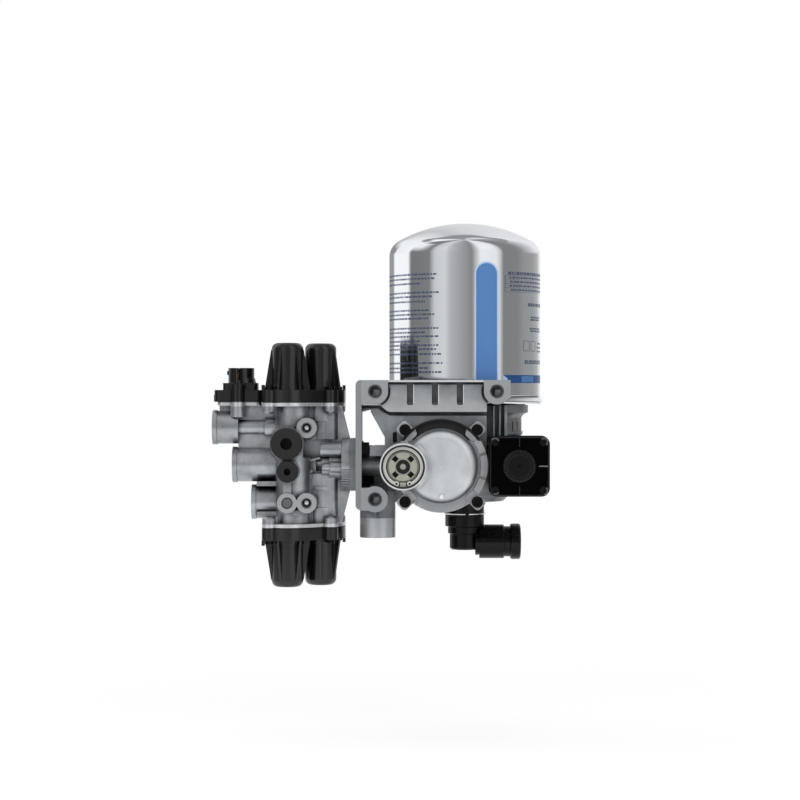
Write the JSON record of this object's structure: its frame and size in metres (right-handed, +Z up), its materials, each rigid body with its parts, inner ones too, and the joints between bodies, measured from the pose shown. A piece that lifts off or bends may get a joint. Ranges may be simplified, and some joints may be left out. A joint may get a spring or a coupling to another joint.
{
  "type": "air processing unit",
  "caption": "Compressed-air processing unit for a heavy vehicle: a desiccant cartridge on a cast dryer base, with a multi-circuit protection valve bolted to its side.",
  "frame": {"origin": "midpoint between the two upper mounting holes, on their front faces", "axes": "+Z up along the cartridge, -Y out of the mounting holes, +X from the protection valve towards the governor"},
  "size_m": [0.2955, 0.1979, 0.3247],
  "materials": {
    "cast_aluminium": "satin",
    "valve_aluminium": "satin",
    "bright_plated_steel": "satin",
    "black_steel": "satin",
    "black_rubber": "matte",
    "zinc_plated_steel": "satin",
    "spring_steel": "satin",
    "black_plastic": "satin",
    "beige_plastic": "matte",
    "grey_plastic": "matte",
    "piston_brass": "satin"
  },
  "bodies": {
    "root": {"dryer_housing": "cast_aluminium", "domed_cover": "cast_aluminium", "valve_body": "valve_aluminium", "desiccant_cartridge": "bright_plated_steel", "cover_screws": "black_steel", "cartridge_seal": "black_rubber", "cover_gasket": "black_rubber", "governor_gasket": "black_rubber", "port_seal": "black_rubber", "port_valve_bush": "black_rubber", "upper_membrane": "black_rubber", "lower_membrane": "black_rubber", "joint_seal": "black_rubber", "sensor_seal": "black_rubber", "large_port_plug": "black_rubber", "small_port_plug": "black_rubber", "governor_screws": "zinc_plated_steel", "upper_cover_screws": "zinc_plated_steel", "lower_cover_screws": "zinc_plated_steel", "sensor_screw": "zinc_plated_steel", "joint_studs": "zinc_plated_steel", "joint_nuts": "zinc_plated_steel", "port_retaining_ring": "zinc_plated_steel", "elbow_clip": "zinc_plated_steel", "channel_balls": "zinc_plated_steel", "blind_plug": "zinc_plated_steel", "governor_spring": "spring_steel", "drain_spring": "spring_steel", "port_valve_spring": "spring_steel", "upper_left_spring": "spring_steel", "upper_right_spring": "spring_steel", "lower_left_spring": "spring_steel", "lower_right_spring": "spring_steel", "governor_cover": "black_plastic", "governor_knob": "black_plastic", "drain_socket": "black_plastic", "exhaust_elbow": "black_plastic", "elbow_nut": "black_plastic", "upper_spring_cover": "black_plastic", "lower_spring_cover": "black_plastic", "pressure_sensor": "black_plastic", "port_valve_cage": "beige_plastic", "port_valve_stem": "grey_plastic", "governor_piston": "piston_brass", "drain_piston": "piston_brass", "upper_left_piston": "piston_brass", "upper_right_piston": "piston_brass", "lower_left_piston": "piston_brass", "lower_right_piston": "piston_brass", "sensor_contacts": "piston_brass"}
  },
  "joints": []
}
